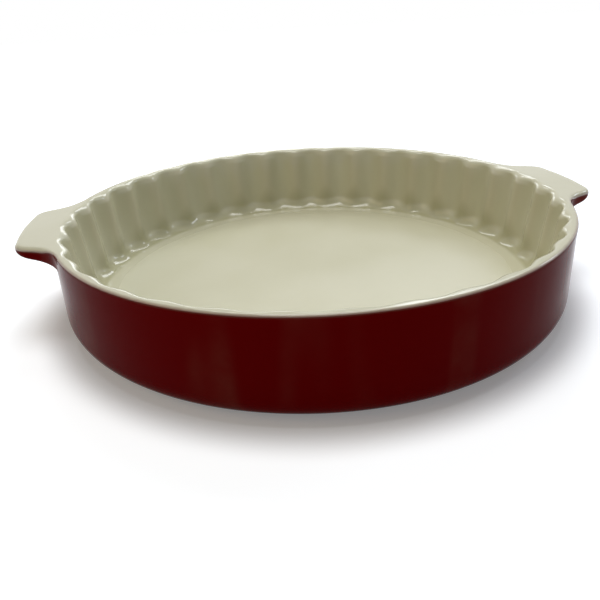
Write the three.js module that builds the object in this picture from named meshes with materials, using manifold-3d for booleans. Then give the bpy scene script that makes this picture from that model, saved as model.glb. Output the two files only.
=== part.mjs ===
// Round stoneware baking dish: a fluted tart dish with two tab handles, cream inside and red outside.
// Millimetres, +Z up, the handles along X. The origin is the middle of the foot, on the table.

import * as THREE from 'three';
import Module from 'manifold-3d';

const wasm = await Module();
wasm.setup();

// Overall form
const RIM_RADIUS = 150;
const HEIGHT = 54;
const WALL_LEAN = 1.7; // how far the outside draws in from the rim to the foot
const BASE_CORNER = 13; // outside radius between the wall and the underside

// Rim, flutes and floor
const RIM_WIDTH = 4.8; // from the outside to the hollow of a flute
const RIM_EDGE = 1.5; // rounding of the rim's outer edge, which the cream coat covers
const RIM_ROUND = 3; // rounding of the rim's inner edge
const INNER_LEAN = 7; // how far the inside draws in from the rim to the floor
const FLUTE_COUNT = 36;
const FLUTE_DEPTH = 3.4;
const FLUTE_START = 0.35; // share of their depth that the flutes have on top of the rim
const FLUTE_RUN_IN = 3; // height below the rim's rounding where the flutes reach their full depth
const RIDGE_ROUNDING = 1; // how blunt a ridge's crest is: 0 would be a knife edge
const FLOOR_LEVEL = 7; // from the table to the inside of the floor
const FLOOR_CORNER = 10; // inside radius between the floor and the wall

// Foot
const FOOT_HEIGHT = 1.2;
const FOOT_WIDTH = 6;
const FOOT_INSET = 2; // from the flat of the underside in to the foot

// Handles
const HANDLE_REACH = 18.6; // from the rim to the tip
const HANDLE_ROOT_WIDTH = 80;
const HANDLE_TIP_WIDTH = 62;
const HANDLE_CORNER = 9; // rounding of the two tip corners
const HANDLE_CROWN = 1.5; // how far the end bulges between its corners
const HANDLE_FLARE = 13; // hollow rounding where the sides leave the rim
const HANDLE_ROOT_THICKNESS = 7.8;
const HANDLE_TIP_THICKNESS = 5.2;
const HANDLE_EDGE = 2.2; // rounding of the upper and lower edges
const HANDLE_SEAT = 12; // how far the lug is set into the wall before it is cut to it

// Glaze coats
const GLAZE = 0.6;
const JOINT_GAP = 0.2; // between a glaze coat and the clay, and between a lug and the wall

// Facets
const FLUTE_STEPS = 5; // columns in one flute
const ROUND_STEPS = 96; // columns round the plain outside
const CORNER_STEPS = 5; // rows in the large corners
const EDGE_STEPS = 2; // rows in the small roundings
const CURVE_STEPS = 4; // points in each curve of a handle's outline
const CUT_MARGIN = 5; // how far a cutting solid runs past what it cuts

const clayDepth = GLAZE + JOINT_GAP;

// Solids

/** Index triples that close a flat ring, seen from above. */
function capTriangles(ring) {
  const flat = ring.map((point) => new THREE.Vector2(point.x, point.y));
  return THREE.ShapeUtils.triangulateShape(flat, []);
}

/** Solid skinned over rings of equal length, from the lowest ring to the highest. */
function skin(rings) {
  const count = rings[0].length;
  const triangles = [];
  rings.slice(1).forEach((ring, row) => {
    for (let column = 0; column < count; column += 1) {
      const next = (column + 1) % count;
      const low = row * count;
      const high = low + count;
      triangles.push(low + column, low + next, high + next);
      triangles.push(low + column, high + next, high + column);
    }
  });
  const last = (rings.length - 1) * count;
  for (const [a, b, c] of capTriangles(rings[0])) {
    triangles.push(a, c, b);
  }
  for (const [a, b, c] of capTriangles(rings.at(-1))) {
    triangles.push(last + a, last + b, last + c);
  }
  const vertProperties = new Float32Array(rings.flat().flatMap((point) => point.toArray()));
  const triVerts = new Uint32Array(triangles);
  return new wasm.Manifold(new wasm.Mesh({ numProp: 3, vertProperties, triVerts }));
}

/** Ring of points at one height, its radius given by a function of the angle. */
function roundRing(radiusAt, z, steps) {
  return Array.from({ length: steps }, (_, step) => {
    const angle = ((step + 0.5) / steps) * 2 * Math.PI;
    const radius = radiusAt(angle);
    return new THREE.Vector3(radius * Math.cos(angle), radius * Math.sin(angle), z);
  });
}

/** Plain solid of revolution over rows of a radius and a height. */
function turned(rows) {
  return skin(rows.map(({ radius, z }) => roundRing(() => radius, z, ROUND_STEPS)));
}

/** Quarter arc of rows about a centre, from one angle to another, angles measured up from level. */
function arcRows(radius, z, bend, from, to, steps) {
  return Array.from({ length: steps + 1 }, (_, step) => {
    const angle = THREE.MathUtils.lerp(from, to, step / steps);
    return { radius: radius + bend * Math.cos(angle), z: z + bend * Math.sin(angle), angle };
  });
}

/** Slab that covers the whole dish between two heights. */
function slab(low, high) {
  const half = RIM_RADIUS + HANDLE_REACH + CUT_MARGIN;
  const corners = [[-half, -half], [half, -half], [half, half], [-half, half]];
  return skin([low, high].map((z) => corners.map(([x, y]) => new THREE.Vector3(x, y, z))));
}

// The dish, without its handles

/** Radius of the outside of the wall at a height. */
function outsideRadius(z) {
  return RIM_RADIUS - (WALL_LEAN * (HEIGHT - z)) / HEIGHT;
}

/** Radius of the inside at a height, in the hollow of a flute. */
function insideRadius(z) {
  return RIM_RADIUS - RIM_WIDTH - (INNER_LEAN * (HEIGHT - z)) / (HEIGHT - FLOOR_LEVEL);
}

const baseCornerHeight = FOOT_HEIGHT + BASE_CORNER;
const baseFlatRadius = outsideRadius(baseCornerHeight) - BASE_CORNER;

/** Outer form of the dish as one full solid, drawn in all over by an inset. */
function outerForm(inset) {
  const edge = RIM_EDGE - inset;
  const corner = BASE_CORNER - inset;
  const edgeHeight = HEIGHT - RIM_EDGE;
  const edgeRadius = outsideRadius(edgeHeight) - RIM_EDGE;
  return turned([
    ...arcRows(baseFlatRadius, baseCornerHeight, corner, -Math.PI / 2, 0, CORNER_STEPS),
    ...arcRows(edgeRadius, edgeHeight, edge, 0, Math.PI / 2, EDGE_STEPS),
  ]);
}

/** Height of a ridge at an angle, from 0 in a hollow to 1 on a crest: round hollows, narrow crests. */
function ridge(angle) {
  const wave = Math.cos((FLUTE_COUNT * angle) / 2);
  const full = Math.hypot(1, RIDGE_ROUNDING);
  return (full - Math.hypot(wave, RIDGE_ROUNDING)) / (full - RIDGE_ROUNDING);
}

/** Share of the flutes' depth at a depth below the top of the rim. */
function fluteShare(depth) {
  const grown = depth / (RIM_ROUND + FLUTE_RUN_IN);
  return THREE.MathUtils.lerp(FLUTE_START, 1, Math.sin((grown * Math.PI) / 2));
}

/** Hollow of the dish as a solid that runs out above the rim, grown all over by an offset. */
function hollow(offset) {
  const corner = FLOOR_CORNER + offset;
  const cornerHeight = FLOOR_LEVEL + FLOOR_CORNER;
  const cornerRadius = insideRadius(cornerHeight) - FLOOR_CORNER;
  const edge = RIM_ROUND - offset;
  const edgeHeight = HEIGHT - RIM_ROUND;
  const edgeRadius = insideRadius(edgeHeight) + RIM_ROUND;
  const crestHeight = edgeHeight - FLUTE_RUN_IN;
  const floorRows = arcRows(cornerRadius, cornerHeight, corner, -Math.PI / 2, 0, CORNER_STEPS);
  const rimRows = arcRows(edgeRadius, edgeHeight, -edge, 0, -Math.PI / 2, EDGE_STEPS);
  const rows = [
    ...floorRows.map((row) => ({ ...row, flute: Math.cos(row.angle) })),
    { radius: insideRadius(crestHeight) + offset, z: crestHeight, flute: 1 },
    ...rimRows.map((row) => ({ ...row, flute: fluteShare(RIM_ROUND * (1 + Math.sin(row.angle))) })),
    { radius: edgeRadius, z: HEIGHT + CUT_MARGIN, flute: FLUTE_START },
  ];
  const steps = FLUTE_COUNT * FLUTE_STEPS;
  return skin(rows.map(({ radius, z, flute }) => (
    roundRing((angle) => radius - flute * FLUTE_DEPTH * ridge(angle), z, steps)
  )));
}

/** Flat ring between two radii and two heights. */
function flatRing(outerRadius, innerRadius, low, high) {
  const disc = turned([{ radius: outerRadius, z: low }, { radius: outerRadius, z: high }]);
  const hole = turned([
    { radius: innerRadius, z: low - CUT_MARGIN },
    { radius: innerRadius, z: high + CUT_MARGIN },
  ]);
  return disc.subtract(hole);
}

// Handles

/** Plan of a handle at one inset: side is 1 for the handle at +X and -1 for the one at -X. */
function handlePlan(side, inset) {
  const rim = RIM_RADIUS - inset;
  const rootHalf = HANDLE_ROOT_WIDTH / 2 - inset;
  const tipHalf = HANDLE_TIP_WIDTH / 2 - inset;
  const flareHalf = rootHalf + HANDLE_FLARE;
  const seat = new THREE.Vector2(rim - HANDLE_SEAT, flareHalf);
  const leave = new THREE.Vector2(Math.sqrt(rim ** 2 - flareHalf ** 2), flareHalf);
  const root = new THREE.Vector2(Math.sqrt(rim ** 2 - rootHalf ** 2), rootHalf);
  const end = rim + HANDLE_REACH;
  const tip = new THREE.Vector2(end - HANDLE_CROWN, tipHalf);
  const along = tip.clone().sub(root).normalize();
  const sideStart = root.clone().addScaledVector(along, HANDLE_FLARE);
  const sideEnd = tip.clone().addScaledVector(along, -HANDLE_CORNER);
  const endStart = new THREE.Vector2(tip.x, tipHalf - HANDLE_CORNER);
  const endStop = new THREE.Vector2(tip.x, -endStart.y);
  const crown = new THREE.Vector2(end + HANDLE_CROWN, 0);
  const flareCurve = new THREE.QuadraticBezierCurve(leave, root, sideStart);
  const cornerCurve = new THREE.QuadraticBezierCurve(sideEnd, tip, endStart);
  const endCurve = new THREE.QuadraticBezierCurve(endStop, crown, endStart);
  const half = [seat, ...flareCurve.getPoints(CURVE_STEPS), ...cornerCurve.getPoints(CURVE_STEPS)];
  const mirrored = half.map((point) => new THREE.Vector2(point.x, -point.y));
  const between = endCurve.getPoints(CURVE_STEPS).slice(1, -1);
  const plan = [...mirrored, ...between, ...half.reverse()];
  return plan.map((point) => point.multiplyScalar(side));
}

/** Thickness of a handle at a distance from the middle of the dish. */
function handleThickness(distance) {
  const share = (distance - RIM_RADIUS) / HANDLE_REACH;
  return THREE.MathUtils.lerp(HANDLE_ROOT_THICKNESS, HANDLE_TIP_THICKNESS, share);
}

/** Handle with rounded edges, drawn in all over by an inset. */
function handleForm(side, inset) {
  const edge = HANDLE_EDGE - inset;
  const lowRows = arcRows(HANDLE_EDGE, HANDLE_EDGE, -edge, Math.PI / 2, 0, EDGE_STEPS);
  const highRows = arcRows(HANDLE_EDGE, -HANDLE_EDGE, -edge, 0, -Math.PI / 2, EDGE_STEPS);
  const underside = (point) => HEIGHT - handleThickness(Math.abs(point.x));
  const ring = ({ radius, z }, levelAt) => handlePlan(side, radius).map((point) => (
    new THREE.Vector3(point.x, point.y, levelAt(point) + z)
  ));
  return skin([
    ...lowRows.map((row) => ring(row, underside)),
    ...highRows.map((row) => ring(row, () => HEIGHT)),
  ]);
}

/** Outer form of the dish with both handles, drawn in all over by an inset. */
function wholeForm(inset) {
  return outerForm(inset).add(handleForm(1, inset)).add(handleForm(-1, inset));
}

// Foot

const footOuter = baseFlatRadius - FOOT_INSET;
const footInner = footOuter - FOOT_WIDTH;
const clayUnderside = FOOT_HEIGHT + clayDepth;

// Pieces

const claySolid = outerForm(clayDepth).subtract(hollow(clayDepth));

/** Clay lug of one handle, cut to the outside of the wall. */
function lugSolid(side) {
  return handleForm(side, clayDepth).subtract(outerForm(GLAZE));
}

const footSolid = flatRing(footOuter, footInner, 0, clayUnderside);

const creamBorder = HEIGHT - RIM_EDGE;
const clayZone = wholeForm(GLAZE).subtract(hollow(GLAZE));
const creamZone = hollow(GLAZE).add(slab(creamBorder, HEIGHT + CUT_MARGIN));
const creamSolid = wholeForm(0).intersect(creamZone).subtract(clayZone).subtract(hollow(0));

const redZone = slab(0, creamBorder - JOINT_GAP);
const redShell = wholeForm(0).subtract(wholeForm(GLAZE)).intersect(redZone);
const insideFoot = turned([
  { radius: footOuter + JOINT_GAP, z: FOOT_HEIGHT - CUT_MARGIN },
  { radius: footOuter + JOINT_GAP, z: FOOT_HEIGHT + CUT_MARGIN },
]);
const redSolid = redShell.subtract(insideFoot);
const undersideSolid = turned([
  { radius: footInner - JOINT_GAP, z: FOOT_HEIGHT },
  { radius: footInner - JOINT_GAP, z: FOOT_HEIGHT + GLAZE },
]);

// Materials

function biscuitClay() {
  return new THREE.MeshStandardMaterial({ color: '#cbb594', roughness: 0.85, metalness: 0 });
}

function creamGlaze() {
  return new THREE.MeshStandardMaterial({ color: '#dcd8c2', roughness: 0.15, metalness: 0 });
}

function redGlaze() {
  return new THREE.MeshStandardMaterial({ color: '#6b1216', roughness: 0.12, metalness: 0 });
}

/** Named mesh of a finished solid. */
function piece(name, solid, material) {
  const { vertProperties, triVerts } = solid.getMesh();
  const geometry = new THREE.BufferGeometry();
  geometry.setAttribute('position', new THREE.BufferAttribute(vertProperties, 3));
  geometry.setIndex(new THREE.BufferAttribute(triVerts, 1));
  geometry.computeVertexNormals();
  const mesh = new THREE.Mesh(geometry, material);
  mesh.name = name;
  return mesh;
}

const dish = new THREE.Group();
dish.add(
  piece('stoneware_body', claySolid, biscuitClay()),
  piece('handle_lug_left', lugSolid(-1), biscuitClay()),
  piece('handle_lug_right', lugSolid(1), biscuitClay()),
  piece('foot_ring', footSolid, biscuitClay()),
  piece('liner_glaze', creamSolid, creamGlaze()),
  piece('outer_glaze', redSolid, redGlaze()),
  piece('underside_glaze', undersideSolid, redGlaze()),
);

export default dish;
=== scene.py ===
"""Looks of the round baking dish: its glaze coats, bare foot and studio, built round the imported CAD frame.

Lengths are in metres and angles in radians, unless a name says otherwise. The frame is that of the CAD
part: the origin in the middle of the foot, +X through both handles and +Z up out of the open top.
"""

import logging
import math
from dataclasses import dataclass
from enum import Enum
from typing import Any

import bpy
import numpy as np
from mathutils import Matrix, Vector


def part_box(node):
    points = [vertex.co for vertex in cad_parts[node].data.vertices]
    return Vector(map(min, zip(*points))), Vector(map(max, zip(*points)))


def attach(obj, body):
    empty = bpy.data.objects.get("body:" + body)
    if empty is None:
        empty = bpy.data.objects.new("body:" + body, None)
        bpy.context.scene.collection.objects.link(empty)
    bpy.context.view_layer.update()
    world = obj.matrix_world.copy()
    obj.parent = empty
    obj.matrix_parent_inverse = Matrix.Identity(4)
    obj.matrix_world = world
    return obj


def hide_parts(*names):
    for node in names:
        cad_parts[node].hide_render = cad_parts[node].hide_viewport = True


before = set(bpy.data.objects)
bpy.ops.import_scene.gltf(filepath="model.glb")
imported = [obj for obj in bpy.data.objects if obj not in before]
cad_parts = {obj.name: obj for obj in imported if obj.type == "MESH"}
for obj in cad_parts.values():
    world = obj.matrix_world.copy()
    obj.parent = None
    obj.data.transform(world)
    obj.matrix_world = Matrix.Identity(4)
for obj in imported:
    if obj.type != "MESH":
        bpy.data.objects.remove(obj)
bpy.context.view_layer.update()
BODY = "root"
EDGE_ATTRIBUTE = "edge_distance"
RIDGE_ATTRIBUTE = "ridge_height"
WHITE = (1.0, 1.0, 1.0, 1.0)
Socket = bpy.types.NodeSocket

log = logging.getLogger("baking_dish")


class Slot(Enum):
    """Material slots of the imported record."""

    BARE_FOOT = "bare_foot"
    CREAM_GLAZE = "cream_glaze"
    RED_GLAZE = "red_glaze"


class Pole(Enum):
    """Which row of a round surface shrinks to one point in the middle."""

    NONE = "none"
    FIRST = "first"
    LAST = "last"


@dataclass(frozen=True)
class DishForm:
    """Main sizes of the dish, with the formulas of its wall and its flutes."""

    rim_radius: float
    height: float
    wall_lean: float = 0.0017
    base_corner: float = 0.013
    foot_height: float = 0.0012
    foot_width: float = 0.006
    foot_inset: float = 0.002
    rim_width: float = 0.0048
    edge: float = 0.0015
    rim_round: float = 0.003
    border_turn: float = math.radians(64.0)
    inner_lean: float = 0.007
    floor_level: float = 0.007
    floor_corner: float = 0.010
    flute_count: int = 36
    flute_depth: float = 0.0034
    flute_start: float = 0.35
    flute_run_in: float = 0.003
    ridge_rounding: float = 1.0
    coat: float = 0.0005

    @property
    def round_height(self) -> float:
        """Height where the rounding of the rim's inner edge begins."""
        return self.height - self.rim_round

    @property
    def base_corner_height(self) -> float:
        """Height where the outside wall ends and the lower corner begins."""
        return self.foot_height + self.base_corner

    @property
    def base_flat_radius(self) -> float:
        """Radius where the lower corner ends and the flat underside begins."""
        return float(self.outside_radius(self.base_corner_height)) - self.base_corner

    @property
    def floor_corner_height(self) -> float:
        """Height where the inside wall ends and the corner to the floor begins."""
        return self.floor_level + self.floor_corner

    @property
    def floor_radius(self) -> float:
        """Radius where the corner ends and the flat floor begins."""
        return float(self.inside_radius(self.floor_corner_height)) - self.floor_corner

    @property
    def foot_outer_radius(self) -> float:
        """Outer radius of the bare foot ring."""
        return self.base_flat_radius - self.foot_inset

    def outside_radius(self, z: Any) -> Any:
        """Radius of the outside wall: the rim radius less a lean that grows evenly downwards."""
        return self.rim_radius - self.wall_lean * (self.height - z) / self.height

    def inside_radius(self, z: Any) -> Any:
        """Radius of the inside wall in the hollow of a flute, leaning in evenly downwards."""
        lean = self.inner_lean * (self.height - z) / (self.height - self.floor_level)
        return self.rim_radius - self.rim_width - lean

    def ridge(self, angles: np.ndarray) -> np.ndarray:
        """Gives the height of the ridges between the flutes.

        The height is a rounded absolute value of a cosine, turned over and scaled: 0 in the
        hollow of a flute, 1 on a crest, with wide round hollows and narrow crests.

        Args:
            angles: Angles round the dish.

        Returns:
            Height of the ridge at each angle, from 0 to 1.
        """
        full = math.hypot(1.0, self.ridge_rounding)
        wave = np.hypot(np.cos(self.flute_count * angles / 2), self.ridge_rounding)
        return (full - wave) / (full - self.ridge_rounding)

    def flute_share(self, z: np.ndarray) -> np.ndarray:
        """Share of the flute's full depth: its start on the rim, growing to 1 below it as a quarter sine."""
        grown = np.clip((self.height - z) / (self.rim_round + self.flute_run_in), 0, 1)
        return self.flute_start + (1 - self.flute_start) * np.sin(grown * math.pi / 2)


@dataclass(frozen=True)
class HandlePlan:
    """Outline of the dish seen from above: a round rim with one tab handle on each side."""

    rim_radius: float
    reach: float
    root_width: float = 0.080
    tip_width: float = 0.062
    corner: float = 0.009
    crown: float = 0.0015
    flare: float = 0.013
    edge: float = 0.0026
    border_turn: float = math.radians(82.0)
    full_reach: float = 0.006
    blend: float = 0.0009
    step: float = 0.00025
    bell_reach: float = 4.0
    curve_points: int = 60
    rim_points: int = 240
    levels: int = 9

    def curve(self, start: np.ndarray, pull: np.ndarray, end: np.ndarray) -> np.ndarray:
        """Curve with one pull point: start, pull and end weighted (1-t)², 2t(1-t) and t²."""
        t = np.linspace(0, 1, self.curve_points)[:, None]
        return (1 - t) ** 2 * start + 2 * t * (1 - t) * pull + t**2 * end

    def quarter(self) -> np.ndarray:
        """Draws a quarter of the outline.

        It runs from the middle of the handle's end round the corner, along the side and the
        flare, and on round the rim to the side of the dish. Its points are then spread evenly,
        and a bell-shaped average along it rounds the places where two curves meet.

        Returns:
            Points of the quarter, one x and y per row.
        """
        tip = np.array([self.rim_radius + self.reach - self.crown, self.tip_width / 2])
        root_y = self.root_width / 2
        root = np.array([math.sqrt(self.rim_radius**2 - root_y**2), root_y])
        leave_y = root_y + self.flare
        leave = np.array([math.sqrt(self.rim_radius**2 - leave_y**2), leave_y])
        along = (tip - root) / np.linalg.norm(tip - root)
        end_corner = np.array([tip[0], tip[1] - self.corner])
        end_middle = np.array([tip[0] + self.crown, 0.0])
        end_pull = np.array([end_middle[0], end_corner[1] / 2])
        round_angles = np.linspace(math.atan2(leave[1], leave[0]), math.pi / 2, self.rim_points)
        rim = self.rim_radius * np.stack([np.cos(round_angles), np.sin(round_angles)], axis=1)
        corners = np.concatenate([
            self.curve(end_middle, end_pull, end_corner),
            self.curve(end_corner, tip, tip - along * self.corner)[1:],
            self.curve(root + along * self.flare, root, leave),
            rim[1:],
        ])
        return self.smoothed(corners)

    def smoothed(self, points: np.ndarray) -> np.ndarray:
        """Spreads points evenly along a quarter of the outline and rounds its kinks.

        Args:
            points: Points of the quarter, from the handle's middle to the side of the dish.

        Returns:
            Evenly spread points, averaged with bell-shaped weights over their mirrored neighbours.
        """
        lengths = np.concatenate([[0.0], np.cumsum(np.linalg.norm(np.diff(points, axis=0), axis=1))])
        even = np.linspace(0, lengths[-1], int(lengths[-1] / self.step))
        spread = np.stack([np.interp(even, lengths, points[:, axis]) for axis in (0, 1)], axis=1)
        reach = int(self.bell_reach * self.blend / self.step)
        weights = np.exp(-0.5 * (np.arange(-reach, reach + 1) * self.step / self.blend) ** 2)
        before = spread[reach:0:-1] * (1, -1)
        after = spread[-2:-reach - 2:-1] * (-1, 1)
        longer = np.concatenate([before, spread, after])
        sides = [np.convolve(longer[:, axis], weights / weights.sum(), "valid") for axis in (0, 1)]
        return np.stack(sides, axis=1)

    def radius(self, angles: np.ndarray, inset: float = 0.0) -> np.ndarray:
        """Gives the outline's distance from the middle of the dish.

        The quarter is moved inwards along its normals, and read off by angle; the other three
        quarters are its mirror images.

        Args:
            angles: Angles round the dish.
            inset: How far the outline is drawn in.

        Returns:
            Radius of the outline at each angle.
        """
        quarter = self.quarter()
        along = np.gradient(quarter, axis=0)
        along /= np.linalg.norm(along, axis=1)[:, None]
        moved = quarter - inset * np.stack([along[:, 1], -along[:, 0]], axis=1)
        turned = np.arctan2(moved[:, 1], moved[:, 0])
        folded = np.arctan2(np.abs(np.sin(angles)), np.abs(np.cos(angles)))
        return np.interp(folded, turned, np.hypot(moved[:, 0], moved[:, 1]))

    def drawn_in(self, angles: np.ndarray, insets: np.ndarray) -> np.ndarray:
        """Gives the outline's radius where each point is drawn in by an inset of its own.

        The outline is worked out at evenly spaced insets, and each radius is mixed from the two
        nearest of them.

        Args:
            angles: Angle of each column.
            insets: Inset of each point, by row and column.

        Returns:
            Radii by row and column.
        """
        levels = np.linspace(0, insets.max(), self.levels)
        table = np.stack([self.radius(angles, level) for level in levels])
        place = insets / levels[1]
        below = np.clip(place.astype(int), 0, self.levels - 2)
        low = np.take_along_axis(table, below, axis=0)
        high = np.take_along_axis(table, below + 1, axis=0)
        return low + (place - below) * (high - low)

    def between(self, angles: np.ndarray, on_rim: float, on_handle: float) -> np.ndarray:
        """Gives a value along the outline that is one thing on the rim and another on the handles.

        It passes from one to the other as a smooth step of the outline's reach past the rim.

        Args:
            angles: Angle of each column.
            on_rim: Value on the plain rim.
            on_handle: Value where the outline stands well past the rim.

        Returns:
            Value of each column.
        """
        grown = np.clip((self.radius(angles) - self.rim_radius) / self.full_reach, 0, 1)
        return on_rim + (on_handle - on_rim) * grown**2 * (3 - 2 * grown)


@dataclass(frozen=True)
class ColumnPlan:
    """How the columns of the round surfaces are spread: closer together at the sides of the handles."""

    per_quarter: int = 180
    close_from: float = math.radians(8.5)
    close_to: float = math.radians(19.5)
    closeness: float = 3.0

    def angles(self) -> np.ndarray:
        """Spreads the columns round the dish.

        The share of columns up to an angle grows evenly, and faster by the closeness between
        the two close angles. One quarter is worked out so and mirrored three times.

        Returns:
            Angle of each column, from 0 to just short of a full turn.
        """
        marks = np.array([0, self.close_from, self.close_to, math.pi / 2])
        weights = np.diff(marks) * (1, self.closeness, 1)
        shares = np.concatenate([[0], np.cumsum(weights)]) / weights.sum()
        quarter = np.interp(np.linspace(0, 1, self.per_quarter + 1), shares, marks)
        half = np.concatenate([quarter, math.pi - quarter[-2::-1]])
        return np.concatenate([half[:-1], math.pi + half[:-1]])


def arc(
    centre: tuple[float, float],
    bend: tuple[float, float],
    sweep: tuple[float, float],
    count: int,
) -> np.ndarray:
    """Draws an arc in a profile: the centre plus the bends times the cosine and sine of the sweep.

    Args:
        centre: Radius and height of the arc's centre.
        bend: Size of the arc along the radius and along the height.
        sweep: First and last angle, measured up from level and outwards.
        count: How many points it has.

    Returns:
        A radius and a height per row.
    """
    angles = np.linspace(*sweep, count)
    return np.stack([centre[0] + bend[0] * np.cos(angles), centre[1] + bend[1] * np.sin(angles)], axis=1)


def round_points(radii: np.ndarray, heights: np.ndarray, angles: np.ndarray) -> np.ndarray:
    """Places rows of points round the dish: the radius times cosine and sine of the angle, and the height.

    Args:
        radii: Radius of each point, by row and column.
        heights: Height of each point, by row and column.
        angles: Angle of each column.

    Returns:
        Points by row and column, with x, y and z last.
    """
    return np.stack([radii * np.cos(angles), radii * np.sin(angles), heights], axis=-1)


def turned_points(profile: np.ndarray, columns: int) -> np.ndarray:
    """Carries a profile of radii and heights once round the dish, in even steps."""
    angles = np.linspace(0, 2 * math.pi, columns, endpoint=False)
    return round_points(profile[:, :1] + 0 * angles, profile[:, 1:] + 0 * angles, angles)


def path_lengths(points: np.ndarray) -> np.ndarray:
    """Distance of each point from the first row, measured along its column."""
    steps = np.linalg.norm(np.diff(points, axis=0), axis=-1)
    return np.concatenate([np.zeros_like(steps[:1]), np.cumsum(steps, axis=0)])


def round_piece(
    name: str,
    points: np.ndarray,
    pole: Pole,
    values: dict[str, np.ndarray],
) -> bpy.types.Object:
    """Makes a smooth object from rows of points that each run once round the dish.

    Each face joins two neighbouring rows and columns, and the last column joins the first. At
    a pole the whole row is one vertex and its faces are triangles. Rows that run outwards on
    top, or downwards outside, give faces that point out of the object.

    Args:
        name: Name of the object.
        points: Points by row and column.
        pole: The row that is one point, if any.
        values: Values by row and column, kept as attributes under their names.

    Returns:
        The object, linked to the scene.
    """
    rows, columns = points.shape[:2]
    index = np.arange(rows * columns).reshape(rows, columns)
    if pole is Pole.FIRST:
        index[0] = index[0, 0]
    if pole is Pole.LAST:
        index[-1] = index[-1, 0]
    kept, numbers = np.unique(index, return_inverse=True)
    index = numbers.reshape(rows, columns)
    beside = np.roll(index, -1, axis=1)
    quads = np.stack([index[:-1], index[1:], beside[1:], beside[:-1]], axis=-1)
    triangles = np.zeros((0, 3), int)
    if pole is Pole.FIRST:
        triangles = quads[0][:, [0, 1, 2]]
        quads = quads[1:]
    if pole is Pole.LAST:
        triangles = quads[-1][:, [0, 1, 3]]
        quads = quads[:-1]
    mesh = bpy.data.meshes.new(name)
    faces = triangles.tolist() + quads.reshape(-1, 4).tolist()
    mesh.from_pydata(points.reshape(-1, 3)[kept].tolist(), [], faces)
    mesh.polygons.foreach_set("use_smooth", np.ones(len(mesh.polygons), bool))
    for title, value in values.items():
        attribute = mesh.attributes.new(title, "FLOAT", "POINT")
        attribute.data.foreach_set("value", value.reshape(-1)[kept].astype(np.float32))
    mesh.update()
    piece = bpy.data.objects.new(name, mesh)
    bpy.context.scene.collection.objects.link(piece)
    return piece


def give_thickness(piece: bpy.types.Object, thickness: float) -> None:
    """Makes a coat of a surface: a shell of even thickness behind it, closed along its border."""
    behind = -1.0
    shell = piece.modifiers.new("coat", "SOLIDIFY")
    shell.thickness = thickness
    shell.offset = behind


def fit(piece: bpy.types.Object, node: str, material: bpy.types.Material) -> None:
    """Puts a finished piece in the place of a CAD node.

    Args:
        piece: The finished piece.
        node: The CAD node that it stands for.
        material: Its material.
    """
    piece.data.materials.append(material)
    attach(piece, BODY)
    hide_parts(node)
    log.info("%s stands for %s: %d faces", piece.name, node, len(piece.data.polygons))


class NodeBoard:
    """Places and joins the nodes of one material, node group or world."""

    def __init__(self, tree: bpy.types.NodeTree) -> None:
        """Starts an empty board on a node tree."""
        self.tree = tree
        self.tree.nodes.clear()

    def place(self, kind: str, inputs: dict[str, Any] | None = None, **settings: Any) -> bpy.types.Node:
        """Adds a node.

        Args:
            kind: Blender's name of the node type.
            inputs: For each input by name or number, a value or the output socket that feeds it.
            settings: Values of the node's own settings.

        Returns:
            The new node.
        """
        node = self.tree.nodes.new(kind)
        for setting, value in settings.items():
            setattr(node, setting, value)
        for socket, value in (inputs or {}).items():
            if isinstance(value, Socket):
                self.tree.links.new(value, node.inputs[socket])
            else:
                node.inputs[socket].default_value = value
        return node

    def remap(self, value: Socket, start: float, stop: float, low: float, high: float) -> Socket:
        """Turns a value from start to stop into one from low to high, with soft ends."""
        limits = {"Value": value, "From Min": start, "From Max": stop, "To Min": low, "To Max": high}
        return self.place("ShaderNodeMapRange", limits, interpolation_type="SMOOTHSTEP").outputs["Result"]

    def noise(self, vector: Socket, scale: Any, detail: float) -> Socket:
        """Cloudy noise at a scale, as one value from 0 to 1."""
        settings = {"Vector": vector, "Scale": scale, "Detail": detail}
        return self.place("ShaderNodeTexNoise", settings).outputs["Fac"]

    def blend(self, share: Any, first: Any, second: Any) -> Socket:
        """Mixes two colours by a share."""
        node = self.place("ShaderNodeMix", {0: share, 6: first, 7: second}, data_type="RGBA")
        return node.outputs[2]

    def sum(self, first: Any, second: Any, operation: str = "ADD") -> Socket:
        """Joins two values by an arithmetic operation."""
        return self.place("ShaderNodeMath", {0: first, 1: second}, operation=operation).outputs[0]

    def spot(self) -> Socket:
        """Object coordinates of the shaded point."""
        return self.place("ShaderNodeTexCoord").outputs["Object"]

    def distance(self) -> Socket:
        """Distance of the shaded point from the middle of the foot."""
        return self.place("ShaderNodeVectorMath", {0: self.spot()}, operation="LENGTH").outputs["Value"]

    def bump(self, height: Socket, strength: float, distance: float) -> Socket:
        """Turns a height into a bumped normal."""
        values = {"Height": height, "Strength": strength, "Distance": distance}
        return self.place("ShaderNodeBump", values).outputs["Normal"]

    def close(self, sockets: dict[str, Any]) -> None:
        """Ends a material with a Principled shader that takes these sockets and values."""
        shader = self.place("ShaderNodeBsdfPrincipled", sockets)
        self.place("ShaderNodeOutputMaterial", {"Surface": shader.outputs["BSDF"]})


def new_material(name: str) -> tuple[bpy.types.Material, NodeBoard]:
    """Starts an empty material, with its board."""
    material = bpy.data.materials.new(name)
    material.use_nodes = True
    return material, NodeBoard(material.node_tree)


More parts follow.
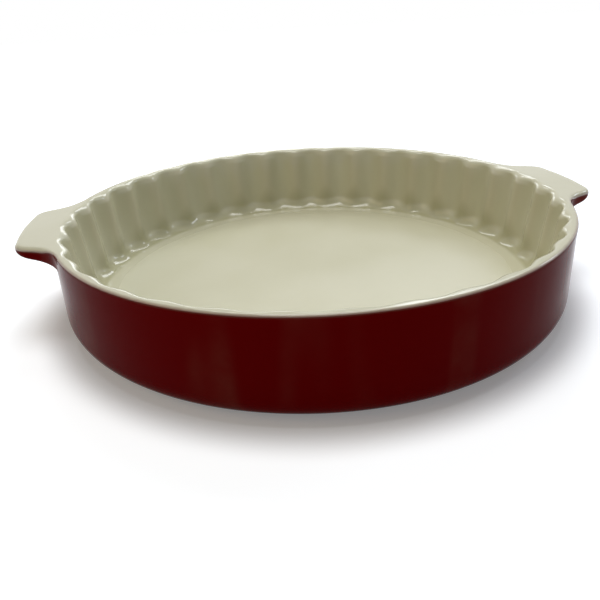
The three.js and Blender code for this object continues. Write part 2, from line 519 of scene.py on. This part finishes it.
def new_group(
    name: str,
    inputs: dict[str, float],
    outputs: tuple[str, ...],
) -> tuple[bpy.types.NodeTree, NodeBoard]:
    """Starts a shader node group.

    Args:
        name: Name of the group.
        inputs: Its value inputs with their defaults.
        outputs: Names of its value outputs.

    Returns:
        The group and its board.
    """
    group = bpy.data.node_groups.new(name, "ShaderNodeTree")
    for title, default in inputs.items():
        socket = group.interface.new_socket(title, in_out="INPUT", socket_type="NodeSocketFloat")
        socket.default_value = default
    for title in outputs:
        group.interface.new_socket(title, in_out="OUTPUT", socket_type="NodeSocketFloat")
    return group, NodeBoard(group)


def glaze_flow_group() -> bpy.types.NodeTree:
    """Makes the flow of a poured glaze.

    Cloud is a broad noise, for tone and roughness. Ripple is a softer one with a little fine
    grain added, for the slight waves that a glaze sets in.

    Returns:
        Group with Cloud and Ripple, both from 0 to about 1.
    """
    inputs = {"Cloud Scale": 20.0, "Ripple Scale": 60.0, "Grain Scale": 900.0, "Grain Share": 0.1}
    cloud_detail = 4.0
    ripple_detail = 1.0
    grain_detail = 2.0
    cloud_limits = (0.25, 0.75)
    group, board = new_group("glaze_flow", inputs, ("Cloud", "Ripple"))
    entry = board.place("NodeGroupInput").outputs
    place = board.spot()
    cloud = board.remap(board.noise(place, entry["Cloud Scale"], cloud_detail), *cloud_limits, 0.0, 1.0)
    ripple = board.noise(place, entry["Ripple Scale"], ripple_detail)
    grain = board.noise(place, entry["Grain Scale"], grain_detail)
    height = board.sum(ripple, board.sum(grain, entry["Grain Share"], "MULTIPLY"))
    board.place("NodeGroupOutput", {"Cloud": cloud, "Ripple": height})
    return group


def thin_edge_group() -> bpy.types.NodeTree:
    """Makes the place where a glaze runs thin along its border.

    Thin is 1 on the border and falls to 0 over the width, which is scaled by its least share plus
    an uneven noise.

    Returns:
        Group with Thin, from 0 to 1.
    """
    swing_scale = 240.0
    swing_detail = 2.0
    least_share = 0.5
    group, board = new_group("thin_edge", {"Width": 0.001, "Unevenness": 0.5}, ("Thin",))
    entry = board.place("NodeGroupInput").outputs
    distance = board.place("ShaderNodeAttribute", attribute_name=EDGE_ATTRIBUTE).outputs["Fac"]
    swing = board.noise(board.spot(), swing_scale, swing_detail)
    swing = board.sum(swing, entry["Unevenness"], "MULTIPLY")
    width = board.sum(entry["Width"], board.sum(swing, least_share), "MULTIPLY")
    share = board.sum(distance, width, "DIVIDE")
    board.place("NodeGroupOutput", {"Thin": board.remap(share, 0.0, 1.0, 1.0, 0.0)})
    return group


def clay_grain_group() -> bpy.types.NodeTree:
    """Makes the grain of fired clay.

    Speck marks scattered dark grains, where a fine noise is high. Grain is the fine noise plus
    a broader one, for tone and for the rough surface.

    Returns:
        Group with Speck and Grain, from 0 to about 1.
    """
    inputs = {"Grain Scale": 700.0, "Speck Scale": 420.0}
    grain_detail = 3.0
    speck_detail = 1.0
    speck_limits = (0.66, 0.72)
    broad_scale = 45.0
    fine_share = 0.6
    broad_share = 0.4
    group, board = new_group("clay_grain", inputs, ("Speck", "Grain"))
    entry = board.place("NodeGroupInput").outputs
    place = board.spot()
    fine = board.noise(place, entry["Grain Scale"], grain_detail)
    broad = board.noise(place, broad_scale, grain_detail)
    specks = board.noise(place, entry["Speck Scale"], speck_detail)
    speck = board.remap(specks, *speck_limits, 0.0, 1.0)
    fine = board.sum(fine, fine_share, "MULTIPLY")
    grain = board.sum(fine, board.sum(broad, broad_share, "MULTIPLY"))
    board.place("NodeGroupOutput", {"Speck": speck, "Grain": grain})
    return group


@dataclass(frozen=True)
class CreamGlaze:
    """Glossy cream glaze: cloudy tone, warm where it runs thin, painted shade in the corner round the floor,
    dull on the floor.
    """

    flow: bpy.types.NodeTree
    edge: bpy.types.NodeTree
    floor_radius: float
    body: tuple[float, ...] = (0.555, 0.54, 0.385, 1)
    pale: tuple[float, ...] = (0.595, 0.58, 0.435, 1)
    ridge: tuple[float, ...] = (0.585, 0.54, 0.395, 1)
    blush: tuple[float, ...] = (0.42, 0.33, 0.25, 1)
    border: tuple[float, ...] = (0.30, 0.15, 0.11, 1)
    # Painted shade: a darker, deeper tone for the corner where the wall meets the floor.
    painted_corner_shade: tuple[float, ...] = (0.43, 0.415, 0.265, 1)
    painted_shade_rise: tuple[float, float] = (-0.001, 0.003)
    painted_shade_fall: tuple[float, float] = (0.006, 0.011)
    blush_width: float = 0.0030
    border_width: float = 0.0009
    smooth: float = 0.07
    dull: float = 0.13
    worn: float = 0.27
    worn_fade: float = 0.012
    gloss: float = 0.40
    cloud_scale: float = 16.0
    ripple_scale: float = 55.0
    grain_scale: float = 1200.0
    grain_share: float = 0.06
    border_unevenness: float = 0.7
    crest_from: float = 0.3
    crest_share: float = 0.4
    bump_strength: float = 0.25
    bump_depth: float = 0.0006

    def material(self) -> bpy.types.Material:
        """Builds the material.

        The cloud mixes the body tone with the pale one; ridges, a painted shade in the corner round
        the floor, a wide blush and a narrow line along the border then take their own tones. The cloud
        also moves the roughness, which is greater on the floor, and the ripple is a shallow bump.

        Returns:
            The finished material.
        """
        material, board = new_material("cream_glaze_finish")
        scales = {
            "Cloud Scale": self.cloud_scale,
            "Ripple Scale": self.ripple_scale,
            "Grain Scale": self.grain_scale,
            "Grain Share": self.grain_share,
        }
        flow = board.place("ShaderNodeGroup", scales, node_tree=self.flow)
        blush = board.place("ShaderNodeGroup", {"Width": self.blush_width}, node_tree=self.edge)
        line = {"Width": self.border_width, "Unevenness": self.border_unevenness}
        thin = board.place("ShaderNodeGroup", line, node_tree=self.edge)
        height = board.place("ShaderNodeAttribute", attribute_name=RIDGE_ATTRIBUTE).outputs["Fac"]
        crest = board.remap(height, self.crest_from, 1.0, 0.0, self.crest_share)
        tone = board.blend(flow.outputs["Cloud"], self.body, self.pale)
        tone = board.blend(crest, tone, self.ridge)
        past_floor = board.sum(board.distance(), self.floor_radius, "SUBTRACT")
        # Painted shade: a ring that rises just past the floor's edge and falls off up the corner, darkening
        # the crease.
        corner_shade_share = board.remap(past_floor, *self.painted_shade_rise, 0.0, 1.0)
        corner_shade_share = board.sum(corner_shade_share, board.remap(past_floor, *self.painted_shade_fall, 1.0, 0.0), "MULTIPLY")
        tone = board.blend(corner_shade_share, tone, self.painted_corner_shade)
        tone = board.blend(blush.outputs["Thin"], tone, self.blush)
        tone = board.blend(thin.outputs["Thin"], tone, self.border)
        rough = board.remap(flow.outputs["Cloud"], 0.0, 1.0, self.smooth, self.dull)
        rough = board.sum(rough, board.remap(past_floor, -self.worn_fade, 0.0, self.worn, 0.0))
        board.close({
            "Base Color": tone,
            "Roughness": rough,
            "Normal": board.bump(flow.outputs["Ripple"], self.bump_strength, self.bump_depth),
            "Specular IOR Level": self.gloss,
        })
        return material


@dataclass(frozen=True)
class RedGlaze:
    """Glossy dark red glaze: faint painted reflection streaks down the wall, brown where it is thin along
    its border.
    """

    flow: bpy.types.NodeTree
    edge: bpy.types.NodeTree
    deep: tuple[float, ...] = (0.130, 0.0006, 0.0009, 1)
    # Painted reflection: the lighter, greyer red of the streaks that stand in for reflected light.
    clear: tuple[float, ...] = (0.150, 0.0200, 0.0140, 1)
    border: tuple[float, ...] = (0.14, 0.035, 0.025, 1)
    gloss_tint: tuple[float, ...] = (1, 0.10, 0.10, 1)
    smooth: float = 0.05
    dull: float = 0.11
    gloss: float = 0.012
    cloud_scale: float = 30.0
    ripple_scale: float = 45.0
    grain_scale: float = 1000.0
    grain_share: float = 0.04
    border_width: float = 0.0012
    border_unevenness: float = 0.8
    streak_stretch: tuple[float, float, float] = (1.0, 1.0, 0.08)
    streak_scale: float = 34.0
    streak_detail: float = 1.0
    streak_limits: tuple[float, float] = (0.50, 0.60)
    bump_strength: float = 0.2
    bump_depth: float = 0.0006

    def material(self) -> bpy.types.Material:
        """Builds the material.

        A noise drawn out along the height makes painted reflection streaks, which mix the deep
        tone with the lighter clear one; the border takes its own tone. The cloud moves the
        roughness, and the ripple is a shallow bump.

        Returns:
            The finished material.
        """
        material, board = new_material("red_glaze_finish")
        scales = {
            "Cloud Scale": self.cloud_scale,
            "Ripple Scale": self.ripple_scale,
            "Grain Scale": self.grain_scale,
            "Grain Share": self.grain_share,
        }
        flow = board.place("ShaderNodeGroup", scales, node_tree=self.flow)
        line = {"Width": self.border_width, "Unevenness": self.border_unevenness}
        thin = board.place("ShaderNodeGroup", line, node_tree=self.edge)
        drawn = board.place("ShaderNodeMapping", {"Vector": board.spot(), "Scale": self.streak_stretch})
        # Painted reflection: vertical streaks of the lighter tone, standing in for reflections down the
        # wall.
        runs = board.noise(drawn.outputs["Vector"], self.streak_scale, self.streak_detail)
        runs = board.remap(runs, *self.streak_limits, 0.0, 1.0)
        share = board.sum(runs, flow.outputs["Cloud"], "MULTIPLY")
        tone = board.blend(share, self.deep, self.clear)
        tone = board.blend(thin.outputs["Thin"], tone, self.border)
        rough = board.remap(flow.outputs["Cloud"], 0.0, 1.0, self.smooth, self.dull)
        board.close({
            "Base Color": tone,
            "Roughness": rough,
            "Normal": board.bump(flow.outputs["Ripple"], self.bump_strength, self.bump_depth),
            "Specular IOR Level": self.gloss,
            "Specular Tint": self.gloss_tint,
        })
        return material


@dataclass(frozen=True)
class FiredClay:
    """Matt fired clay with scattered dark grains."""

    name: str
    grain: bpy.types.NodeTree
    pale: tuple[float, ...] = (0.60, 0.47, 0.32, 1)
    dark: tuple[float, ...] = (0.46, 0.34, 0.21, 1)
    speck: tuple[float, ...] = (0.13, 0.08, 0.05, 1)
    grain_scale: float = 700.0
    speck_share: float = 0.6
    tone_limits: tuple[float, float] = (0.3, 0.7)
    rough_limits: tuple[float, float] = (0.2, 0.8)
    rough_range: tuple[float, float] = (0.72, 0.92)
    bump_strength: float = 0.4
    bump_depth: float = 0.0003

    def material(self) -> bpy.types.Material:
        """Builds the material.

        The grain mixes the dark tone with the pale one, the specks lie on it, and the grain is
        also the roughness and the bump.

        Returns:
            The finished material.
        """
        material, board = new_material(self.name)
        scale = {"Grain Scale": self.grain_scale}
        outputs = board.place("ShaderNodeGroup", scale, node_tree=self.grain).outputs
        paleness = board.remap(outputs["Grain"], *self.tone_limits, 0.0, 1.0)
        specks = board.sum(outputs["Speck"], self.speck_share, "MULTIPLY")
        tone = board.blend(paleness, self.dark, self.pale)
        board.close({
            "Base Color": board.blend(specks, tone, self.speck),
            "Roughness": board.remap(outputs["Grain"], *self.rough_limits, *self.rough_range),
            "Normal": board.bump(outputs["Grain"], self.bump_strength, self.bump_depth),
        })
        return material


@dataclass(frozen=True)
class OuterEdge:
    """Rounded outer edge of the rim and the handles, with the border between the two coats on it."""

    form: DishForm
    plan: HandlePlan
    columns: np.ndarray
    rows: int = 6

    def size(self) -> np.ndarray:
        """Size of the rounding at each column."""
        return self.plan.between(self.columns, self.form.edge, self.plan.edge)

    def border(self) -> np.ndarray:
        """Turn of the rounding where the cream coat ends, at each column."""
        return self.plan.between(self.columns, self.form.border_turn, self.plan.border_turn)

    def part(self, first: Any, last: Any) -> tuple[np.ndarray, np.ndarray]:
        """Works out a part of the edge.

        The outline is drawn in by the size times one less the sine of the turn, and lies below
        the top by the size times one less the cosine of the turn.

        Args:
            first: First turn, one for all columns or one each; 0 on top, a quarter turn at the side.
            last: Last turn.

        Returns:
            Radii and heights by row and column.
        """
        size = self.size()
        turns = np.linspace(first + 0 * size, last + 0 * size, self.rows)
        radii = self.plan.drawn_in(self.columns, size * (1 - np.sin(turns)))
        return radii, self.form.height - size * (1 - np.cos(turns))


@dataclass(frozen=True)
class LinerGlaze:
    """Cream coat over the floor, the fluted wall, the rim and the tops of the handles."""

    form: DishForm
    plan: HandlePlan
    columns: np.ndarray
    floor_rows: int = 7
    corner_rows: int = 12
    wall_rows: int = 5
    run_in_rows: int = 6
    edge_rows: int = 10
    top_rows: int = 8

    def inside(self) -> tuple[np.ndarray, np.ndarray]:
        """Draws the profile from the middle of the floor to the inner edge of the rim.

        It is a flat floor, a quarter-round corner, the leaning wall and the rim's rounded inner
        edge. The flutes grow in the corner with the cosine of its angle, and fade below the rim.

        Returns:
            A radius and a height per row in the hollow of a flute, and the flute's share there.
        """
        form = self.form
        corner_height = form.floor_corner_height
        corner_radius = form.floor_radius
        floor_radii = np.linspace(0, corner_radius, self.floor_rows)[:-1]
        floor = np.stack([floor_radii, np.full_like(floor_radii, form.floor_level)], axis=1)
        bend = (form.floor_corner, form.floor_corner)
        corner = arc((corner_radius, corner_height), bend, (-math.pi / 2, 0), self.corner_rows)
        run_in = form.round_height - form.flute_run_in
        heights = np.concatenate([
            np.linspace(corner_height, run_in, self.wall_rows)[1:],
            np.linspace(run_in, form.round_height, self.run_in_rows)[1:-1],
        ])
        wall = np.stack([form.inside_radius(heights), heights], axis=1)
        edge_centre = (form.inside_radius(form.round_height) + form.rim_round, form.round_height)
        edge = arc(edge_centre, (-form.rim_round, form.rim_round), (0, math.pi / 2), self.edge_rows)
        profile = np.concatenate([floor, corner, wall, edge])
        grown = np.clip((profile[:, 0] - corner_radius) / form.floor_corner, 0, 1)
        grown[len(floor) + len(corner):] = 1
        return profile, grown * form.flute_share(profile[:, 1])

    def surface(self) -> tuple[np.ndarray, np.ndarray]:
        """Works out the whole coat.

        The inside is the profile less the flute's share times the ridge height. The rim's flat
        top runs from there to the outline, whose edge is a quarter-round of the outline drawn in
        by less and less.

        Returns:
            Points by row and column, and the ridge height of each.
        """
        form = self.form
        profile, share = self.inside()
        ridges = share[:, None] * form.ridge(self.columns)
        inside_radii = profile[:, :1] - form.flute_depth * ridges
        inside_heights = np.broadcast_to(profile[:, 1:], inside_radii.shape)
        across = np.linspace(0, 1, self.top_rows + 1)[1:-1, None]
        edge = OuterEdge(form, self.plan, self.columns)
        edge_radii, edge_heights = edge.part(0, edge.border())
        top_radii = inside_radii[-1] + across * (edge_radii[0] - inside_radii[-1])
        top_heights = np.full_like(top_radii, form.height)
        radii = np.concatenate([inside_radii, top_radii, edge_radii])
        heights = np.concatenate([inside_heights, top_heights, edge_heights])
        flat = np.zeros((len(radii) - len(ridges), len(self.columns)))
        return round_points(radii, heights, self.columns), np.concatenate([ridges, flat])

    def build(self) -> bpy.types.Object:
        """Makes the coat, with its distance from the border and its ridge height as attributes."""
        points, ridges = self.surface()
        values = {EDGE_ATTRIBUTE: path_lengths(points[::-1])[::-1], RIDGE_ATTRIBUTE: ridges}
        piece = round_piece("cream_liner", points, Pole.FIRST, values)
        give_thickness(piece, self.form.coat)
        return piece


@dataclass(frozen=True)
class OuterGlaze:
    """Red coat over the sides and undersides of the handles, the outside wall and the lower corner."""

    form: DishForm
    plan: HandlePlan
    columns: np.ndarray
    root_thickness: float = 0.0078
    tip_thickness: float = 0.0052
    most_thickness: float = 0.0092
    lip_rounding: float = 0.0022
    underside_fall: float = 0.0004
    root_fillet: float = 0.005
    side_rows: int = 4
    lip_rows: int = 6
    under_rows: int = 5
    fillet_rows: int = 9
    wall_rows: int = 5
    corner_rows: int = 12
    flat_rows: int = 3

    def handle_section(self) -> tuple[np.ndarray, np.ndarray, np.ndarray]:
        """Draws the section under a handle, from its upper edge down to the wall.

        It is a straight side, a rounded lip, an underside that falls evenly towards the wall and
        a hollow quarter-round into the wall.

        Returns:
            Per row, the distance from the wall as a share of the handle's reach, the share of the
            side's height that lies above, and the depth below the side.
        """
        reach = self.plan.reach
        low = self.lip_rounding
        side = np.linspace(0, 1, self.side_rows)[1:]
        lip_turn = np.linspace(0, math.pi / 2, self.lip_rows)[1:]
        lip_away = reach - low * (1 - np.cos(lip_turn))
        under = np.linspace(lip_away[-1], self.root_fillet, self.under_rows)[1:]
        under_sink = np.linspace(low, low + self.underside_fall, self.under_rows)[1:]
        hollow_turn = np.linspace(0, math.pi / 2, self.fillet_rows)[1:]
        hollow_away = self.root_fillet * (1 - np.sin(hollow_turn))
        hollow_sink = under_sink[-1] + self.root_fillet * (1 - np.cos(hollow_turn))
        away = np.concatenate([reach + 0 * side, lip_away, under, hollow_away])
        sink = np.concatenate([0 * side, low * np.sin(lip_turn), under_sink, hollow_sink])
        above = np.ones_like(away)
        above[:len(side)] = side
        return away / reach, above, sink

    def surface(self) -> np.ndarray:
        """Works out the whole coat.

        It starts on the rounded outer edge, where the cream coat ends. Under the handles, the
        radius is that of the wall plus the outline's reach past the rim times the share from the
        handle's section, and the thickness tapers evenly along x from the root to the tip. Below
        follow the leaning wall, the quarter-round lower corner and the flat underside up to the
        foot.

        Returns:
            Points by row and column.
        """
        form = self.form
        share, above, sink = (rows[:, None] for rows in self.handle_section())
        past_rim = share * (self.plan.radius(self.columns) - self.plan.rim_radius)
        along = (self.plan.rim_radius + past_rim) * np.abs(np.cos(self.columns)) - self.plan.rim_radius
        taper = (self.root_thickness - self.tip_thickness) * along / self.plan.reach
        thickness = np.minimum(self.root_thickness - taper, self.most_thickness)
        edge = OuterEdge(form, self.plan, self.columns)
        side = thickness - self.lip_rounding - edge.size()
        handle_heights = form.height - edge.size() - above * side - sink
        handle_radii = form.outside_radius(handle_heights) + past_rim
        wall_heights = np.linspace(handle_heights[-1].min(), form.base_corner_height, self.wall_rows)[1:]
        wall = np.stack([form.outside_radius(wall_heights), wall_heights], axis=1)
        bend = (form.base_corner, form.base_corner)
        centre = (form.base_flat_radius, form.base_corner_height)
        corner = arc(centre, bend, (0, -math.pi / 2), self.corner_rows)[1:]
        flat_radii = np.linspace(form.base_flat_radius, form.foot_outer_radius, self.flat_rows)[1:]
        flat = np.stack([flat_radii, np.full_like(flat_radii, form.foot_height)], axis=1)
        lower = np.concatenate([wall, corner, flat])[:, :, None] + 0 * self.columns
        edge_radii, edge_heights = edge.part(edge.border(), math.pi / 2)
        radii = np.concatenate([edge_radii, handle_radii, lower[:, 0]])
        heights = np.concatenate([edge_heights, handle_heights, lower[:, 1]])
        return round_points(radii, heights, self.columns)

    def build(self) -> bpy.types.Object:
        """Makes the coat, with its distance from the border as an attribute."""
        points = self.surface()
        piece = round_piece("red_coat", points, Pole.NONE, {EDGE_ATTRIBUTE: path_lengths(points)})
        give_thickness(piece, self.form.coat)
        return piece


@dataclass(frozen=True)
class UndersideGlaze:
    """Red coat on the underside, inside the foot ring."""

    form: DishForm
    gap: float = 0.0002
    border_roll: float = 0.0004
    roll_rows: int = 5
    rows: int = 9
    columns: int = 180

    def build(self) -> bpy.types.Object:
        """Makes the coat: a disc whose border rolls up, from its rim to its middle."""
        form = self.form
        outer = form.foot_outer_radius - form.foot_width - self.gap
        centre = (outer - self.border_roll, form.foot_height + self.border_roll)
        bend = (self.border_roll, self.border_roll)
        roll = arc(centre, bend, (0, -math.pi / 2), self.roll_rows)
        radii = np.linspace(outer - self.border_roll, 0, self.rows)[1:]
        disc = np.stack([radii, np.full_like(radii, form.foot_height)], axis=1)
        profile = np.concatenate([roll, disc])
        points = turned_points(profile, self.columns)
        piece = round_piece("red_underside", points, Pole.LAST, {EDGE_ATTRIBUTE: path_lengths(points)})
        give_thickness(piece, form.coat)
        return piece


@dataclass(frozen=True)
class FootRing:
    """Bare clay ring that the dish stands on."""

    form: DishForm
    top: float
    rounding: float = 0.0005
    close_gap: float = 0.000005
    corner_rows: int = 5
    columns: int = 240

    def build(self) -> bpy.types.Object:
        """Makes the ring: a rounded rectangle carried round the middle, its first row closing the last."""
        form = self.form
        outer = form.foot_outer_radius - self.rounding
        inner = form.foot_outer_radius - form.foot_width + self.rounding
        low = self.rounding
        high = self.top - self.rounding
        bend = (self.rounding, self.rounding)
        quarter = math.pi / 2
        profile = np.concatenate([
            arc((outer, high), bend, (quarter, 0), self.corner_rows),
            arc((outer, low), bend, (0, -quarter), self.corner_rows),
            arc((inner, low), bend, (-quarter, -2 * quarter), self.corner_rows),
            arc((inner, high), bend, (2 * quarter, quarter), self.corner_rows),
        ])
        profile = np.concatenate([profile, profile[:1]])
        points = turned_points(profile, self.columns)
        piece = round_piece("clay_foot", points, Pole.NONE, {})
        weld = piece.modifiers.new("close", "WELD")
        weld.merge_threshold = self.close_gap
        return piece


@dataclass(frozen=True)
class ClayCore:
    """Clay body and handle lugs of the CAD frame, which stay under the glaze."""

    nodes: tuple[str, ...] = ("stoneware_body", "handle_lug_left", "handle_lug_right")

    def dress(self, material: bpy.types.Material) -> None:
        """Gives the clay nodes their material."""
        for name in self.nodes:
            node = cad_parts[name]
            for slot in node.material_slots:
                slot.material = material
            log.info("%s keeps its CAD shape", name)


@dataclass(frozen=True)
class Softbox:
    """Soft rectangular lamp that points at the dish."""

    name: str
    azimuth: float
    elevation: float
    distance: float
    width: float
    length: float
    power: float
    tint: tuple[float, float, float]

    def build(self, target: Vector) -> None:
        """Hangs the lamp at its distance from the target, by azimuth from +X and elevation in degrees."""
        lamp = bpy.data.lights.new(self.name, "AREA")
        lamp.shape = "RECTANGLE"
        lamp.size = self.width
        lamp.size_y = self.length
        lamp.energy = self.power
        lamp.color = self.tint
        holder = bpy.data.objects.new(self.name, lamp)
        bpy.context.scene.collection.objects.link(holder)
        across = math.radians(self.azimuth)
        above = math.radians(self.elevation)
        level = math.cos(above)
        away = Vector((math.cos(across) * level, math.sin(across) * level, math.sin(above)))
        holder.location = target + away * self.distance
        holder.rotation_euler = (-away).to_track_quat("-Z", "Y").to_euler()


@dataclass(frozen=True)
class Studio:
    """Plain pale floor, soft lamps and a white background."""

    floor_half: float = 4.0
    floor_tone: tuple[float, ...] = (0.85, 0.89, 0.935, 1)
    # Painted light: glow that lightens the dish's shadow under it and across the ring round it.
    shadow_lift: float = 0.20
    near_lift: float = 0.48
    far_lift: float = 1.0
    near_ring: tuple[float, float] = (0.149, 0.169)
    far_ring: tuple[float, float] = (0.3, 1.2)
    sky_level: float = 0.12
    lamps: tuple[Softbox, ...] = (
        Softbox(
            "top_softbox", azimuth=80.0, elevation=88.0, distance=1.4,
            width=0.65, length=0.65, power=9.1, tint=(1.0, 1.0, 1.0),
        ),
        Softbox(
            "back_window", azimuth=80.0, elevation=49.0, distance=1.3,
            width=0.75, length=0.45, power=5.2, tint=(0.97, 1.0, 1.02),
        ),
        Softbox(
            "right_window", azimuth=60.0, elevation=34.0, distance=1.5,
            width=0.45, length=0.32, power=2.5, tint=(0.93, 0.98, 1.05),
        ),
        Softbox(
            "low_window", azimuth=88.0, elevation=14.0, distance=1.5,
            width=0.65, length=0.22, power=1.2, tint=(0.95, 1.0, 1.0),
        ),
        Softbox(
            "side_window", azimuth=15.0, elevation=28.0, distance=1.5,
            width=0.30, length=0.30, power=1.6, tint=(0.90, 0.97, 1.08),
        ),
        Softbox(
            "warm_fill", azimuth=195.0, elevation=35.0, distance=1.5,
            width=1.0, length=0.8, power=2.8, tint=(1.0, 0.77, 0.40),
        ),
    )

    def background_share(self, board: NodeBoard) -> Socket:
        """Is 1 for what the camera sees, straight on or through gloss or glass, and 0 for light."""
        path = board.place("ShaderNodeLightPath").outputs
        mirrored = board.sum(path["Is Glossy Ray"], path["Is Transmission Ray"], "MAXIMUM")
        return board.sum(path["Is Camera Ray"], mirrored, "MAXIMUM")

    def build_floor(self) -> None:
        """Lays the floor: a square that keeps the shadow, with a painted glow that lightens the shadow round
        the dish and lifts the floor to white away from it.
        """
        half = self.floor_half
        mesh = bpy.data.meshes.new("floor")
        corners = [(-half, -half, 0), (half, -half, 0), (half, half, 0), (-half, half, 0)]
        mesh.from_pydata(corners, [], [(0, 1, 2, 3)])
        floor = bpy.data.objects.new("floor", mesh)
        bpy.context.scene.collection.objects.link(floor)
        material, board = new_material("pale_floor")
        away = board.distance()
        # Painted light: a glow that is least under the dish and rises across the near ring, lightening and
        # shortening the dish's shadow.
        near = board.remap(away, *self.near_ring, self.shadow_lift, self.near_lift)
        far = board.remap(away, *self.far_ring, 0.0, self.far_lift - self.near_lift)
        lift = board.sum(self.background_share(board), board.sum(near, far), "MULTIPLY")
        board.close({
            "Base Color": self.floor_tone,
            "Roughness": 1.0,
            "Specular IOR Level": 0.0,
            "Emission Color": WHITE,
            "Emission Strength": lift,
        })
        mesh.materials.append(material)

    def build_sky(self) -> None:
        """Makes the world: white where the camera sees it, and a soft grey light everywhere else."""
        world = bpy.data.worlds.new("white_studio")
        world.use_nodes = True
        bpy.context.scene.world = world
        board = NodeBoard(world.node_tree)
        level = board.remap(self.background_share(board), 0.0, 1.0, self.sky_level, 1.0)
        sky = board.place("ShaderNodeBackground", {"Strength": level, "Color": WHITE})
        board.place("ShaderNodeOutputWorld", {"Surface": sky.outputs["Background"]})

    def build(self, target: Vector) -> None:
        """Sets up floor, background and lamps round a target."""
        self.build_floor()
        self.build_sky()
        for lamp in self.lamps:
            lamp.build(target)
        bpy.context.scene.view_settings.view_transform = "Standard"
        log.info("studio with %d lamps", len(self.lamps))


@dataclass(frozen=True)
class Viewpoint:
    """Camera at the photograph's angle."""

    distance: float = 0.36735
    height: float = 0.1675
    yaw: float = -0.0221
    pitch: float = 0.361
    roll: float = -0.0508
    dish_turn: float = math.radians(10.0)
    focal_pixels: float = 630.0
    image_pixels: float = 600.0
    axis_above_middle: float = 60.0
    sensor_width: float = 36.0

    def build(self) -> None:
        """Makes the camera.

        It stands in front of the dish, looks along +Y turned by yaw and pitch, rolls, and is
        then turned about the dish's middle by as much as the dish is turned in the picture.
        """
        forward = Vector((
            math.sin(self.yaw) * math.cos(self.pitch),
            math.cos(self.yaw) * math.cos(self.pitch),
            -math.sin(self.pitch),
        ))
        right = Vector((math.cos(self.yaw), -math.sin(self.yaw), 0))
        up = right.cross(forward)
        rolled_right = right * math.cos(self.roll) + up * math.sin(self.roll)
        rolled_up = up * math.cos(self.roll) - right * math.sin(self.roll)
        placed = Matrix((rolled_right, rolled_up, -forward)).transposed().to_4x4()
        placed.translation = Vector((0, -self.distance, self.height))
        data = bpy.data.cameras.new("photograph_view")
        data.sensor_width = self.sensor_width
        data.lens = self.sensor_width * self.focal_pixels / self.image_pixels
        data.shift_y = -self.axis_above_middle / self.image_pixels
        camera = bpy.data.objects.new("photograph_view", data)
        bpy.context.scene.collection.objects.link(camera)
        camera.matrix_world = Matrix.Rotation(-self.dish_turn, 4, "Z") @ placed
        bpy.context.scene.camera = camera
        log.info("camera at the photograph's angle")


def main() -> None:
    """Builds the dish, piece by piece, and the studio round it."""
    logging.basicConfig(level=logging.INFO, format="%(name)s: %(message)s")
    wall_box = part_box("outer_glaze")
    liner_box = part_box("liner_glaze")
    foot_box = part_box("foot_ring")
    rim_radius = min(wall_box[1].y, liner_box[1].y)
    form = DishForm(rim_radius=rim_radius, height=liner_box[1].z)
    plan = HandlePlan(rim_radius=rim_radius, reach=wall_box[1].x - rim_radius)
    columns = ColumnPlan().angles()

    flow = glaze_flow_group()
    edge = thin_edge_group()
    grain = clay_grain_group()
    cream = CreamGlaze(flow, edge, form.floor_radius).material()
    red = RedGlaze(flow, edge).material()

    fit(LinerGlaze(form, plan, columns).build(), "liner_glaze", cream)
    fit(OuterGlaze(form, plan, columns).build(), "outer_glaze", red)
    fit(UndersideGlaze(form).build(), "underside_glaze", red)
    bare = FiredClay("bare_foot_finish", grain).material()
    fit(FootRing(form, foot_box[1].z).build(), "foot_ring", bare)
    biscuit = FiredClay("biscuit_clay_finish", grain, grain_scale=500.0, speck_share=0.3).material()
    ClayCore().dress(biscuit)

    Studio().build(Vector((0, 0, form.height / 2)))
    Viewpoint().build()


if __name__ == "__main__":
    main()
